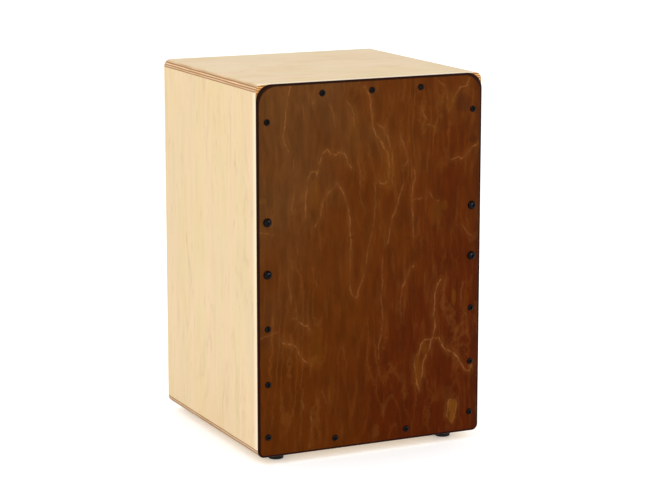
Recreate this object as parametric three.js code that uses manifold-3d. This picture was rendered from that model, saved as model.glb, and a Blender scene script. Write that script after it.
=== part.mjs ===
// A cajon: a box drum that the player sits on, with a thin front plate that is played by hand.
//
// The shell is four birch plywood boards and a rear panel with a round sound hole. Battens glued inside the
// front and rear rims carry the plates. The front plate is screwed on, so that it comes off the front for
// access to the fixed snare: two sets of coiled wires on a wooden bar, which lie close behind the plate.
// Four rubber feet are screwed under the base.
//
// Millimetres, +Z up. X runs across the player's front, -Y is the played side, and the origin is the middle
// of the footprint at floor level.
import * as THREE from "three";
import { mergeVertices } from "three/addons/utils/BufferGeometryUtils.js";
import Module from "manifold-3d";

const wasm = await Module();
wasm.setup();

// Body
const BODY_WIDTH = 298;
const BODY_HEIGHT = 447;
const BODY_DEPTH = 287;
const WALL = 9; // seven-ply board
const EDGE_RADIUS = 8.5; // roundover along the four long edges
const FOOT_HEIGHT = 10;

// Front plate and rear panel
const PLATE_THICKNESS = 3;
const PLATE_TOP_RADIUS = 20;
const PLATE_BOTTOM_RADIUS = 8;
const REAR_THICKNESS = 4;
const REAR_RECESS = 1; // the panel lies this far inside the rim
const SOUND_HOLE_RADIUS = 55;
const SOUND_HOLE_HEIGHT = 270; // above the underside of the body

// Battens
const FRONT_BATTEN = 16;
const REAR_BATTEN = 12;

// Front fasteners. Heights are above the underside of the body.
const SIDE_INSET = 12.8;
const ROW_INSET = 13.7; // top and bottom rows, from the edge of the plate
const SIDE_SCREW_HEIGHTS = [25, 89.5, 157, 403];
const SIDE_BOLT_HEIGHTS = [222.5, 285];
const TOP_ROW = [-65, 0, 65];
const BOTTOM_ROW = [-48, 48];
const PLATE_SCREW = { head: 3.9, height: 2.2, shank: 1.75, length: 16 };
const BOLT = { head: 5.3, height: 3, shank: 2, length: 45, socket: 1.75 };
const BOLT_NUT = { flats: 3.5, thickness: 3.2 };

// Snare
const BAR_SETBACK = 5; // from the back of the front plate to the face of the bar
const BAR_HEIGHT = 40;
const CLEAT = { width: 36, depth: 20, height: 92 };
const SNARE_X = 58; // middle of each wire set
const SNARE_WIDTH = 76;
const COIL_COUNT = 10;
const COIL_PITCH = 7.4;
const COIL_RADIUS = 1.3;
const COIL_LENGTH = 140;
const COIL_CLEARANCE = 0.4; // from the back of the front plate to the coils
const FLANGE = { thickness: 1, height: 22 };
const HEM = { thickness: 4, height: 9 };
const TIP = { thickness: 2, height: 4 };
const SNARE_SCREW = { head: 3, height: 1.8, shank: 1.5, length: 10 };
const BAR_SCREW = { head: 3.6, height: 2, shank: 1.75, length: 24 };

// Feet
const FOOT_X = 114;
const FOOT_INSET = 25; // from the front and rear planes of the body
const FOOT = { top: 10, bottom: 9.3, well: 5.2, web: 4, edge: 1.2 };
const WASHER = { radius: 4.6, thickness: 0.8 };
const FOOT_SCREW = { head: 3.9, height: 2.2, shank: 1.75, length: 12 };

// Clearances
const GLUE_GAP = 0.1; // between faces that rest on each other
const HOLE_GAP = 0.3; // round a shank in its hole

// Places that follow from the sizes
const HALF_WIDTH = BODY_WIDTH / 2;
const INNER_HALF = HALF_WIDTH - WALL;
const BODY_TOP = FOOT_HEIGHT + BODY_HEIGHT;
const INNER_BOTTOM = FOOT_HEIGHT + WALL;
const INNER_TOP = BODY_TOP - WALL;
const FRONT_PROUD = PLATE_THICKNESS + BOLT.height + 2 * GLUE_GAP;
const FRONT_Y = (FRONT_PROUD - BODY_DEPTH) / 2; // front rim of the body
const REAR_Y = FRONT_Y + BODY_DEPTH; // rear rim of the body
const MIDDLE_Y = (FRONT_Y + REAR_Y) / 2;
const PLATE_BACK_Y = FRONT_Y - GLUE_GAP;
const PLATE_FACE_Y = PLATE_BACK_Y - PLATE_THICKNESS;
const HEAD_SEAT_Y = PLATE_FACE_Y - GLUE_GAP;
const REAR_PANEL_Y = REAR_Y - REAR_RECESS - REAR_THICKNESS;
const BATTEN_BACK_Y = FRONT_Y + FRONT_BATTEN;
const CLEAT_BACK_Y = BATTEN_BACK_Y + GLUE_GAP + CLEAT.depth;
const BAR_Z = FOOT_HEIGHT + (SIDE_BOLT_HEIGHTS[0] + SIDE_BOLT_HEIGHTS[1]) / 2;
const BAR_FACE_Y = FRONT_Y + BAR_SETBACK;
const BAR_SCREW_X = INNER_HALF - CLEAT.width + 8;
const BAR_SCREW_RISE = 11; // above and below the middle of the bar

const wood = (color, roughness) => new THREE.MeshStandardMaterial({ color, roughness, metalness: 0 });
const metal = (color, roughness) => new THREE.MeshStandardMaterial({ color, roughness, metalness: 1 });
const MATERIALS = {
  birch: wood(0xead2a6, 0.55),
  stained: wood(0x5b2f12, 0.4),
  pine: wood(0xd9bd8b, 0.7),
  beech: wood(0xcfa778, 0.6),
  blackSteel: metal(0x16161a, 0.35),
  zincSteel: metal(0xb8bcc0, 0.35),
  rubber: new THREE.MeshStandardMaterial({ color: 0x131313, roughness: 0.8, metalness: 0 }),
};

const root = new THREE.Group();

function group(parent, x = 0, y = 0, z = 0) {
  const made = new THREE.Group();
  made.position.set(x, y, z);
  parent.add(made);
  return made;
}

function piece(parent, name, geometry, material, x = 0, y = 0, z = 0) {
  const mesh = new THREE.Mesh(geometry, material);
  mesh.name = name;
  mesh.position.set(x, y, z);
  parent.add(mesh);
  return mesh;
}

// Solids from geometries and back, for the pieces that are cut or joined.
function solidOf(geometry) {
  const bare = geometry.clone();
  bare.deleteAttribute("normal");
  bare.deleteAttribute("uv");
  const merged = mergeVertices(bare, 1e-4);
  return new wasm.Manifold(
    new wasm.Mesh({
      numProp: 3,
      vertProperties: new Float32Array(merged.attributes.position.array),
      triVerts: new Uint32Array(merged.index.array),
    }),
  );
}

function geometryOf(solid) {
  const mesh = solid.getMesh();
  const geometry = new THREE.BufferGeometry();
  geometry.setAttribute("position", new THREE.BufferAttribute(mesh.vertProperties, 3));
  geometry.setIndex(new THREE.BufferAttribute(mesh.triVerts, 1));
  geometry.computeVertexNormals();
  return geometry;
}

const cut = (geometry, tools) =>
  geometryOf(tools.reduce((solid, tool) => solid.subtract(solidOf(tool)), solidOf(geometry)));

const join = (geometries) =>
  geometryOf(geometries.slice(1).reduce((solid, more) => solid.add(solidOf(more)), solidOf(geometries[0])));

// A box from its lowest and highest corners.
function block(low, high) {
  const size = high.map((value, i) => value - low[i]);
  return new THREE.BoxGeometry(...size).translate(...low.map((value, i) => value + size[i] / 2));
}

// A round bar along +Y that starts at the given point.
function rodAlongY(radius, length, x, y, z, sides = 12) {
  return new THREE.CylinderGeometry(radius, radius, length, sides).translate(x, y + length / 2, z);
}

// The same along +Z.
function rodAlongZ(radius, length, x, y, z, sides = 12) {
  return new THREE.CylinderGeometry(radius, radius, length, sides)
    .rotateX(Math.PI / 2)
    .translate(x, y, z + length / 2);
}

// A shape drawn in X and Z, made solid from y to y + depth.
function standing(shape, y, depth, curveSegments) {
  return new THREE.ExtrudeGeometry(shape, { depth, bevelEnabled: false, curveSegments })
    .rotateX(Math.PI / 2)
    .translate(0, y + depth, 0);
}

const roundHole = (x, z, radius) => new THREE.Path().absarc(x, z, radius, 0, 2 * Math.PI, true);

const lathe = (profile, sides) =>
  new THREE.LatheGeometry(
    profile.map(([r, y]) => new THREE.Vector2(r, y)),
    sides,
  );

// Every fastener through the front plate, with heights above the floor.
function frontFasteners() {
  const found = [];
  for (const [side, sign] of [["left", -1], ["right", 1]]) {
    const x = sign * (HALF_WIDTH - SIDE_INSET);
    SIDE_SCREW_HEIGHTS.forEach((height, i) =>
      found.push({ name: `plate_screw_${side}_${i + 1}`, size: PLATE_SCREW, x, z: FOOT_HEIGHT + height }),
    );
    SIDE_BOLT_HEIGHTS.forEach((height, i) =>
      found.push({ name: `clamp_bolt_${side}_${i + 1}`, size: BOLT, x, z: FOOT_HEIGHT + height }),
    );
  }
  TOP_ROW.forEach((x, i) =>
    found.push({ name: `plate_screw_top_${i + 1}`, size: PLATE_SCREW, x, z: BODY_TOP - ROW_INSET }),
  );
  BOTTOM_ROW.forEach((x, i) =>
    found.push({ name: `plate_screw_bottom_${i + 1}`, size: PLATE_SCREW, x, z: FOOT_HEIGHT + ROW_INSET }),
  );
  return found;
}

const FASTENERS = frontFasteners();
const BOLTS = FASTENERS.filter((fastener) => fastener.size === BOLT);

// Holes for every front fastener, as deep from the front rim as its shank reaches.
const fastenerHoles = () =>
  FASTENERS.map(({ size, x, z }) =>
    rodAlongY(size.shank + HOLE_GAP, size.length + HOLE_GAP, x, HEAD_SEAT_Y, z),
  );

// Shell

function capBoard(height, upward) {
  const flat = upward ? 0 : WALL; // the side that meets the side boards
  const face = WALL - flat;
  const turn = upward ? 1 : -1;
  const inner = HALF_WIDTH - EDGE_RADIUS;
  const shape = new THREE.Shape();
  shape.moveTo(-HALF_WIDTH, flat);
  shape.lineTo(HALF_WIDTH, flat);
  shape.absarc(inner, face - turn * EDGE_RADIUS, EDGE_RADIUS, 0, (turn * Math.PI) / 2, !upward);
  shape.absarc(-inner, face - turn * EDGE_RADIUS, EDGE_RADIUS, (turn * Math.PI) / 2, turn * Math.PI, !upward);
  shape.closePath();
  return standing(shape, FRONT_Y, BODY_DEPTH, 4).translate(0, 0, height);
}

const footPlaces = () => {
  const places = [];
  for (const [end, y] of [["front", FRONT_Y + FOOT_INSET], ["rear", REAR_Y - FOOT_INSET]])
    for (const [side, x] of [["left", -FOOT_X], ["right", FOOT_X]])
      places.push({ label: `${end}_${side}`, x, y });
  return places;
};

function makeShell() {
  const shell = group(root);
  piece(shell, "seat_panel", capBoard(INNER_TOP, true), MATERIALS.birch);
  const pilots = footPlaces().map(({ x, y }) =>
    rodAlongZ(FOOT_SCREW.shank + HOLE_GAP, WALL - 1, x, y, FOOT_HEIGHT),
  );
  piece(shell, "base_panel", cut(capBoard(FOOT_HEIGHT, false), pilots), MATERIALS.birch);
  for (const [side, sign] of [["left", -1], ["right", 1]]) {
    const board = new THREE.BoxGeometry(WALL, BODY_DEPTH, INNER_TOP - INNER_BOTTOM - 2 * GLUE_GAP);
    const x = sign * (HALF_WIDTH - WALL / 2);
    piece(shell, `${side}_side_panel`, board, MATERIALS.birch, x, MIDDLE_Y, (INNER_TOP + INNER_BOTTOM) / 2);
  }
  piece(shell, "rear_panel", rearPanel(), MATERIALS.birch);
}

function rearPanel() {
  const half = INNER_HALF - GLUE_GAP;
  const shape = new THREE.Shape();
  shape.moveTo(-half, INNER_BOTTOM + GLUE_GAP);
  shape.lineTo(half, INNER_BOTTOM + GLUE_GAP);
  shape.lineTo(half, INNER_TOP - GLUE_GAP);
  shape.lineTo(-half, INNER_TOP - GLUE_GAP);
  shape.closePath();
  shape.holes.push(roundHole(0, FOOT_HEIGHT + SOUND_HOLE_HEIGHT, SOUND_HOLE_RADIUS));
  return standing(shape, REAR_PANEL_Y, REAR_THICKNESS, 24);
}

// Battens: two uprights and two cross pieces inside a rim, from y to y + size.
function makeBattens(parent, rim, y, size, holes) {
  const outer = INNER_HALF - GLUE_GAP;
  const low = INNER_BOTTOM + GLUE_GAP;
  const high = INNER_TOP - GLUE_GAP;
  const inner = outer - size;
  const reach = inner - GLUE_GAP;
  const blocks = {
    left: block([-outer, y, low], [-inner, y + size, high]),
    right: block([inner, y, low], [outer, y + size, high]),
    top: block([-reach, y, high - size], [reach, y + size, high]),
    bottom: block([-reach, y, low], [reach, y + size, low + size]),
  };
  for (const [place, geometry] of Object.entries(blocks))
    piece(parent, `${rim}_batten_${place}`, holes.length ? cut(geometry, holes) : geometry, MATERIALS.pine);
}

// Front plate

function plateOutline() {
  const low = FOOT_HEIGHT + PLATE_BOTTOM_RADIUS;
  const high = BODY_TOP - PLATE_TOP_RADIUS;
  const bottomX = HALF_WIDTH - PLATE_BOTTOM_RADIUS;
  const topX = HALF_WIDTH - PLATE_TOP_RADIUS;
  const shape = new THREE.Shape();
  shape.moveTo(-bottomX, FOOT_HEIGHT);
  shape.absarc(bottomX, low, PLATE_BOTTOM_RADIUS, -Math.PI / 2, 0);
  shape.absarc(topX, high, PLATE_TOP_RADIUS, 0, Math.PI / 2);
  shape.absarc(-topX, high, PLATE_TOP_RADIUS, Math.PI / 2, Math.PI);
  shape.absarc(-bottomX, low, PLATE_BOTTOM_RADIUS, Math.PI, 1.5 * Math.PI);
  return shape;
}

function makeFrontPlate(parent) {
  const shape = plateOutline();
  for (const { size, x, z } of FASTENERS) shape.holes.push(roundHole(x, z, size.shank + HOLE_GAP));
  piece(parent, "front_plate", standing(shape, PLATE_FACE_Y, PLATE_THICKNESS, 5), MATERIALS.stained);
}

// Fasteners. Each has its axis along +Y, its head towards -Y and its seat at y = 0.

function crossHeadScrew({ head, height, shank, length }) {
  const body = lathe(
    [
      [0, -height],
      [head * 0.62, -height * 0.86],
      [head, -height * 0.3],
      [head, 0],
      [shank, 0],
      [shank, length - 2 * shank],
      [0, length],
    ],
    12,
  );
  const slot = head * 0.26;
  const reach = head * 0.55;
  const floor = -height * 0.35;
  return cut(body, [
    block([-reach, -height - 1, -slot / 2], [reach, floor, slot / 2]),
    block([-slot / 2, -height - 1, -reach], [slot / 2, floor, reach]),
  ]);
}

function buttonHeadBolt({ head, height, shank, length, socket }) {
  const body = lathe(
    [
      [0, -height],
      [head * 0.42, -height],
      [head * 0.74, -height * 0.78],
      [head * 0.94, -height * 0.4],
      [head, 0],
      [shank, 0],
      [shank, length - 1],
      [shank - 0.6, length],
      [0, length],
    ],
    16,
  );
  return cut(body, [rodAlongY(socket, height, 0, -height * 1.4, 0, 6)]);
}

function hexNut() {
  const corner = BOLT_NUT.flats / Math.cos(Math.PI / 6);
  const bore = rodAlongY(BOLT.shank + HOLE_GAP, BOLT_NUT.thickness + 2, 0, -1, 0);
  return cut(rodAlongY(corner, BOLT_NUT.thickness, 0, 0, 0, 6), [bore]);
}

function makeFrontFasteners(parent) {
  const screw = crossHeadScrew(PLATE_SCREW);
  const bolt = buttonHeadBolt(BOLT);
  for (const { name, size, x, z } of FASTENERS)
    piece(parent, name, size === BOLT ? bolt : screw, MATERIALS.blackSteel, x, HEAD_SEAT_Y, z);
}

// Snare: two cleats behind the side battens, a bar across them, and a wire set on each half of the bar.

function cleat(sign) {
  const outer = sign * (INNER_HALF - GLUE_GAP);
  const inner = sign * (INNER_HALF - CLEAT.width);
  const body = block(
    [Math.min(outer, inner), BATTEN_BACK_Y + GLUE_GAP, BAR_Z - CLEAT.height / 2],
    [Math.max(outer, inner), CLEAT_BACK_Y, BAR_Z + CLEAT.height / 2],
  );
  return cut(body, [...fastenerHoles(), ...barScrewHoles()]);
}

function barScrewPlaces() {
  const places = [];
  for (const [side, sign] of [["left", -1], ["right", 1]])
    for (const [level, turn] of [["lower", -1], ["upper", 1]])
      places.push({ label: `${side}_${level}`, x: sign * BAR_SCREW_X, z: BAR_Z + turn * BAR_SCREW_RISE });
  return places;
}

const barScrewHoles = () =>
  barScrewPlaces().map(({ x, z }) =>
    rodAlongY(BAR_SCREW.shank + HOLE_GAP, BAR_SCREW.length + HOLE_GAP, x, BAR_FACE_Y - GLUE_GAP, z),
  );

const snareScrewPlaces = () => {
  const z = BAR_Z - BAR_HEIGHT / 2 + 2 + FLANGE.height / 2;
  const places = [];
  for (const [side, sign] of [["left", -1], ["right", 1]])
    [-1, 1].forEach((turn, i) =>
      places.push({ label: `${side}_${i + 1}`, x: sign * SNARE_X + (turn * SNARE_WIDTH) / 3, z }),
    );
  return places;
};

function snareBar() {
  const half = INNER_HALF - FRONT_BATTEN - 3 * GLUE_GAP;
  const body = block(
    [-half, BAR_FACE_Y, BAR_Z - BAR_HEIGHT / 2],
    [half, BATTEN_BACK_Y, BAR_Z + BAR_HEIGHT / 2],
  );
  const pilots = snareScrewPlaces().map(({ x, z }) =>
    rodAlongY(SNARE_SCREW.shank + HOLE_GAP, SNARE_SCREW.length, x, BAR_FACE_Y - 1, z),
  );
  return cut(body, [...barScrewHoles(), ...pilots]);
}

// One wire set: a flange that is screwed to the bar, the hem that grips the coils, and a strip at their tips.
function snareSet(centre) {
  const foot = BAR_Z - BAR_HEIGHT / 2 + 2;
  const hemFoot = foot + FLANGE.height - 1;
  const seat = BAR_FACE_Y - GLUE_GAP;
  const half = SNARE_WIDTH / 2;
  const coilY = FRONT_Y + COIL_CLEARANCE + COIL_RADIUS;
  const coilTop = hemFoot + HEM.height + COIL_LENGTH;
  const parts = [
    block([centre - half, seat - FLANGE.thickness, foot], [centre + half, seat, hemFoot + 1]),
    block([centre - half, seat - HEM.thickness, hemFoot], [centre + half, seat, hemFoot + HEM.height]),
    block(
      [centre - half + 2, coilY - TIP.thickness / 2, coilTop - TIP.height],
      [centre + half - 2, coilY + TIP.thickness / 2, coilTop],
    ),
  ];
  for (let i = 0; i < COIL_COUNT; i++) {
    const x = centre + (i - (COIL_COUNT - 1) / 2) * COIL_PITCH;
    parts.push(rodAlongZ(COIL_RADIUS, coilTop - 1 - hemFoot - 2, x, coilY, hemFoot + 2, 8));
  }
  const holes = snareScrewPlaces().map(({ x, z }) =>
    rodAlongY(SNARE_SCREW.shank + HOLE_GAP, HEM.thickness + 2, x, seat - HEM.thickness - 1, z),
  );
  return cut(join(parts), holes);
}

function makeSnare() {
  const snare = group(root);
  piece(snare, "snare_cleat_left", cleat(-1), MATERIALS.pine);
  piece(snare, "snare_cleat_right", cleat(1), MATERIALS.pine);
  piece(snare, "snare_bar", snareBar(), MATERIALS.beech);
  piece(snare, "snare_wires_left", snareSet(-SNARE_X), MATERIALS.zincSteel);
  piece(snare, "snare_wires_right", snareSet(SNARE_X), MATERIALS.zincSteel);
  const snareScrew = crossHeadScrew(SNARE_SCREW);
  const flangeFaceY = BAR_FACE_Y - FLANGE.thickness - 2 * GLUE_GAP;
  for (const { label, x, z } of snareScrewPlaces())
    piece(snare, `snare_screw_${label}`, snareScrew, MATERIALS.zincSteel, x, flangeFaceY, z);
  const barScrew = crossHeadScrew(BAR_SCREW);
  for (const { label, x, z } of barScrewPlaces())
    piece(snare, `bar_screw_${label}`, barScrew, MATERIALS.zincSteel, x, BAR_FACE_Y - GLUE_GAP, z);
  const nut = hexNut();
  for (const { name, x, z } of BOLTS)
    piece(snare, name.replace("bolt", "nut"), nut, MATERIALS.zincSteel, x, CLEAT_BACK_Y + GLUE_GAP, z);
}

// Feet. Each is drawn with its axis along +Y and stood up by its group.

function rubberFoot() {
  const bore = FOOT_SCREW.shank + HOLE_GAP;
  const height = FOOT_HEIGHT - GLUE_GAP;
  const webFoot = height - FOOT.web;
  return lathe(
    [
      [FOOT.well, 0],
      [FOOT.bottom - FOOT.edge, 0],
      [FOOT.bottom - FOOT.edge * 0.3, FOOT.edge * 0.3],
      [FOOT.bottom, FOOT.edge],
      [FOOT.top, height],
      [bore, height],
      [bore, webFoot],
      [FOOT.well, webFoot],
      [FOOT.well, 0],
    ],
    24,
  );
}

function flatWasher() {
  const bore = FOOT_SCREW.shank + HOLE_GAP;
  return lathe(
    [
      [bore, 0],
      [WASHER.radius, 0],
      [WASHER.radius, WASHER.thickness],
      [bore, WASHER.thickness],
      [bore, 0],
    ],
    16,
  );
}

function makeFeet() {
  const foot = rubberFoot();
  const washer = flatWasher();
  const screw = crossHeadScrew(FOOT_SCREW);
  const washerHeight = FOOT_HEIGHT - FOOT.web - 2 * GLUE_GAP - WASHER.thickness;
  for (const { label, x, y } of footPlaces()) {
    const stand = group(root, x, y, 0);
    stand.rotation.x = Math.PI / 2;
    piece(stand, `rubber_foot_${label}`, foot, MATERIALS.rubber);
    piece(stand, `foot_washer_${label}`, washer, MATERIALS.zincSteel, 0, washerHeight, 0);
    piece(stand, `foot_screw_${label}`, screw, MATERIALS.zincSteel, 0, washerHeight - GLUE_GAP, 0);
  }
}

makeShell();
const front = group(root);
makeBattens(front, "front", FRONT_Y, FRONT_BATTEN, fastenerHoles());
makeFrontPlate(front);
makeFrontFasteners(front);
makeBattens(group(root), "rear", REAR_PANEL_Y - GLUE_GAP - REAR_BATTEN, REAR_BATTEN, []);
makeSnare();
makeFeet();

export default root;
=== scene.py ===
import math
from collections import namedtuple

import bmesh
import bpy
import numpy as np
from mathutils import Matrix, Vector


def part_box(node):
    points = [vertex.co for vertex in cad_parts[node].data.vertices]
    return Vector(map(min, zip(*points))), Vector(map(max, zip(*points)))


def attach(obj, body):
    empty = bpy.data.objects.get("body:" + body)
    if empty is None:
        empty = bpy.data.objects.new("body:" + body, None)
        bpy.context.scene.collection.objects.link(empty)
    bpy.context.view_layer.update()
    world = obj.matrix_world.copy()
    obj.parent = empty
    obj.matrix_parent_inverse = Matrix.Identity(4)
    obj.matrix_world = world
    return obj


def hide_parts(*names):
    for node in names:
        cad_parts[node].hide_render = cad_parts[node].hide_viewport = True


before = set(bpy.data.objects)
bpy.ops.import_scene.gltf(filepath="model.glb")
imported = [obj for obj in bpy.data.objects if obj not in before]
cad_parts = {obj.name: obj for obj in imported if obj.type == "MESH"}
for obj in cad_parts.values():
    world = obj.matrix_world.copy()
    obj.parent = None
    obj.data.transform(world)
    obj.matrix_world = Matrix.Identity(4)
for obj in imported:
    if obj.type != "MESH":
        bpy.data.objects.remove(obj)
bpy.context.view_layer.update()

BODY = "root"
MM = 0.001
PLATE_TOP_RADIUS = 20 * MM  # corners of the front plate
PLATE_BOTTOM_RADIUS = 8 * MM


# ---------------------------------------------------------------- mesh building


def finished_mesh(name, bm, material, crease=32):
    """A mesh from a bmesh, shaded smooth up to the crease angle in degrees."""
    bmesh.ops.recalc_face_normals(bm, faces=bm.faces)
    mesh = bpy.data.meshes.new(name)
    bm.to_mesh(mesh)
    bm.free()
    mesh.materials.append(material)
    mesh.shade_smooth()
    mesh.set_sharp_from_angle(angle=math.radians(crease))
    return mesh


def place(name, mesh, slot_name, node, matrix=None):
    """A piece that rides on the body in place of a node of the CAD model."""
    piece = bpy.data.objects.new(name, mesh)
    if matrix is not None:
        piece.matrix_world = matrix
    bpy.context.scene.collection.objects.link(piece)
    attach(piece, BODY)
    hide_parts(node)
    return piece


def solid(name, bm, material, slot_name, node, crease=35):
    return place(name, finished_mesh(name, bm, material, crease), slot_name, node)


def weight_normals(piece):
    """Large flat faces keep their own normals where they meet small rounded ones."""
    modifier = piece.modifiers.new("flat_faces", "WEIGHTED_NORMAL")
    modifier.weight = 100
    modifier.keep_sharp = True


def node_centre(node):
    low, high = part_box(node)
    return (low + high) / 2


def eased_block(low, high, ease, segments=2):
    """A box between two corners with rounded edges."""
    bm = bmesh.new()
    bmesh.ops.create_cube(bm, size=1)
    low, high = Vector(low), Vector(high)
    for vert in bm.verts:
        vert.co = Vector((low[i] + (vert.co[i] + 0.5) * (high[i] - low[i]) for i in range(3)))
    bmesh.ops.bevel(bm, geom=bm.edges[:], offset=ease, segments=segments, affect="EDGES", profile=0.5)
    return bm


def bridge(bm, loops):
    """Quads between loops of the same number of vertices."""
    rings = [[bm.verts.new(point) for point in loop] for loop in loops]
    for first, second in zip(rings, rings[1:]):
        for i in range(len(first)):
            j = (i + 1) % len(first)
            bm.faces.new((first[i], first[j], second[j], second[i]))
    return rings


def turned(profile, segments):
    """A solid of revolution about Z from (radius, height) points that start and end on the axis."""
    bm = bmesh.new()
    angles = [2 * math.pi * i / segments for i in range(segments)]
    inner = [(r, h) for r, h in profile if r > 0]
    rings = bridge(bm, [[(r * math.cos(a), r * math.sin(a), h) for a in angles] for r, h in inner])
    for ring, (r, h) in ((rings[0], profile[0]), (rings[-1], profile[-1])):
        if r > 0:
            continue
        tip = bm.verts.new((0, 0, h))
        for i in range(segments):
            bm.faces.new((ring[i], ring[(i + 1) % segments], tip))
    if profile[0] == profile[-1]:
        bmesh.ops.remove_doubles(bm, verts=bm.verts, dist=1e-7)
    return bm


def arc(centre, radius, start, end, steps):
    """Points on an arc, from one angle to another in degrees."""
    angles = [math.radians(start + (end - start) * i / steps) for i in range(steps + 1)]
    return [(centre[0] + radius * math.cos(a), centre[1] + radius * math.sin(a)) for a in angles]


def carve(solid_bm, cutter_bm):
    """The solid less its cutter, as a new bmesh."""
    made = []
    for name, bm in (("target", solid_bm), ("cutter", cutter_bm)):
        bmesh.ops.recalc_face_normals(bm, faces=bm.faces)
        thing = bpy.data.objects.new(name, bpy.data.meshes.new(name))
        bm.to_mesh(thing.data)
        bm.free()
        bpy.context.scene.collection.objects.link(thing)
        made.append(thing)
    target, cutter = made
    modifier = target.modifiers.new("cut", "BOOLEAN")
    modifier.operation = "DIFFERENCE"
    modifier.solver = "EXACT"
    modifier.object = cutter
    graph = bpy.context.evaluated_depsgraph_get()
    result = bmesh.new()
    result.from_mesh(target.evaluated_get(graph).to_mesh())
    for thing in made:
        bpy.data.objects.remove(thing)
    return result


def rounded_outline(low, high, top_radius, bottom_radius, inset=0.0, steps=14):
    """The loop of a plate in X and Z with round corners, moved inwards by inset."""
    points = []
    for sign_x, sign_z, radius, start in (
        (1, -1, bottom_radius, -90),
        (1, 1, top_radius, 0),
        (-1, 1, top_radius, 90),
        (-1, -1, bottom_radius, 180),
    ):
        x = high[0] - radius if sign_x > 0 else low[0] + radius
        z = high[2] - radius if sign_z > 0 else low[2] + radius
        points += arc((x, z), radius - inset, start, start + 90, steps)
    return points


# ---------------------------------------------------------------- materials


class Graph:
    """A short way to write a material's nodes."""

    def __init__(self, name):
        self.material = bpy.data.materials.new(name)
        self.material.use_nodes = True
        self.tree = self.material.node_tree
        self.tree.nodes.clear()
        self.output = self.add("ShaderNodeOutputMaterial")
        self.shader = self.add("ShaderNodeBsdfPrincipled")
        self.join(self.shader.outputs["BSDF"], self.output.inputs["Surface"])
        coords = self.add("ShaderNodeTexCoord")
        self.place = self.vector("SCALE", coords.outputs["Object"], scale=1 / MM)  # millimetres
        split = self.add("ShaderNodeSeparateXYZ", {"Vector": self.place})
        self.x, self.y, self.z = split.outputs
        normal = self.add("ShaderNodeSeparateXYZ", {"Vector": coords.outputs["Normal"]})
        self.normal = [self.math("ABSOLUTE", out) for out in normal.outputs]

    def add(self, kind, inputs=None, **settings):
        node = self.tree.nodes.new(kind)
        for key, value in settings.items():
            setattr(node, key, value)
        for key, value in (inputs or {}).items():
            self.join(value, node.inputs[key])
        return node

    def join(self, value, socket):
        if isinstance(value, bpy.types.NodeSocket):
            self.tree.links.new(value, socket)
        else:
            socket.default_value = value

    def math(self, operation, a, b=0.0, c=0.0):
        return self.add("ShaderNodeMath", {0: a, 1: b, 2: c}, operation=operation).outputs[0]

    def clamp(self, value):
        return self.math("MINIMUM", self.math("MAXIMUM", value, 0.0), 1.0)

    def vector(self, operation, a, b=None, scale=None):
        """A vector, or a number for DOT_PRODUCT, DISTANCE and LENGTH."""
        node = self.add("ShaderNodeVectorMath", {0: a}, operation=operation)
        if b is not None:
            self.join(b, node.inputs[1])
        if scale is not None:
            self.join(scale, node.inputs["Scale"])
        return node.outputs["Value" if operation in ("DOT_PRODUCT", "DISTANCE", "LENGTH") else "Vector"]

    def combine(self, x=0.0, y=0.0, z=0.0):
        return self.add("ShaderNodeCombineXYZ", {0: x, 1: y, 2: z}).outputs[0]

    def ramp(self, value, low, high, to_low=0.0, to_high=1.0):
        """Smooth step from to_low at low to to_high at high."""
        inputs = {"Value": value, 1: low, 2: high, 3: to_low, 4: to_high}
        node = self.add("ShaderNodeMapRange", inputs, interpolation_type="SMOOTHSTEP")
        return node.outputs[0]

    def noise(self, vector, size, detail=2.0, roughness=0.5):
        """Noise from 0 to 1 with features about size millimetres wide, or (x, y, z) of such sizes."""
        sizes = size if isinstance(size, tuple) else (size, size, size)
        scaled = self.vector("DIVIDE", vector, sizes)
        inputs = {"Vector": scaled, "Scale": 1.0, "Detail": detail, "Roughness": roughness}
        return self.add("ShaderNodeTexNoise", inputs).outputs[0]

    def mix(self, factor, a, b, blend="MIX"):
        node = self.add("ShaderNodeMix", {0: factor, 6: a, 7: b}, data_type="RGBA", blend_type=blend)
        return node.outputs[2]

    def shade(self, colour, amount):
        """colour made lighter or darker by a factor."""
        grey = self.combine(amount, amount, amount)
        return self.mix(1.0, colour, grey, "MULTIPLY")

    def bump(self, height, depth):
        """A normal from height, where 1 stands depth millimetres proud."""
        inputs = {"Height": height, "Distance": depth * MM, "Strength": 1.0}
        return self.add("ShaderNodeBump", inputs).outputs[0]

    def finish(self, **values):
        for key, value in values.items():
            self.join(value, self.shader.inputs[key.replace("_", " ")])
        return self.material


def rgb(red, green, blue):
    """A linear colour from the 0 to 255 values of a screen."""
    shares = (red / 255, green / 255, blue / 255)
    linear = [((v + 0.055) / 1.055) ** 2.4 if v > 0.04 else v / 12.92 for v in shares]
    return (*linear, 1.0)


BIRCH_PINK, BIRCH_YELLOW, BIRCH_GREY = rgb(216, 187, 146), rgb(212, 187, 138), rgb(207, 184, 142)
# The last colour on the next line is the painted sheen along the shell boards' front rims.
BIRCH_TAN, BIRCH_BROWN, BIRCH_SHEEN = rgb(196, 163, 118), rgb(152, 119, 76), rgb(238, 218, 190)
END_BROWN, END_RED, GLUE_LINE = rgb(138, 98, 56), rgb(160, 108, 72), rgb(92, 60, 32)
LONG_TAN, LONG_PINK = rgb(196, 162, 112), rgb(218, 184, 144)
# A warm tint painted on front-facing edges, standing in for the plate's reflected colour and shade.
RIM_REFLECTED_TINT = (1.0, 0.78, 0.46, 1.0)
# How far the painted sheen reaches back from the front rim.
SHEEN_WIDTH = 14  # millimetres behind the front rim


def axis_sizes(grain, along, across):
    """Noise sizes that are long in the grain's direction and short across it."""
    return tuple(along if axis == grain else across for axis in "XYZ")


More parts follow.
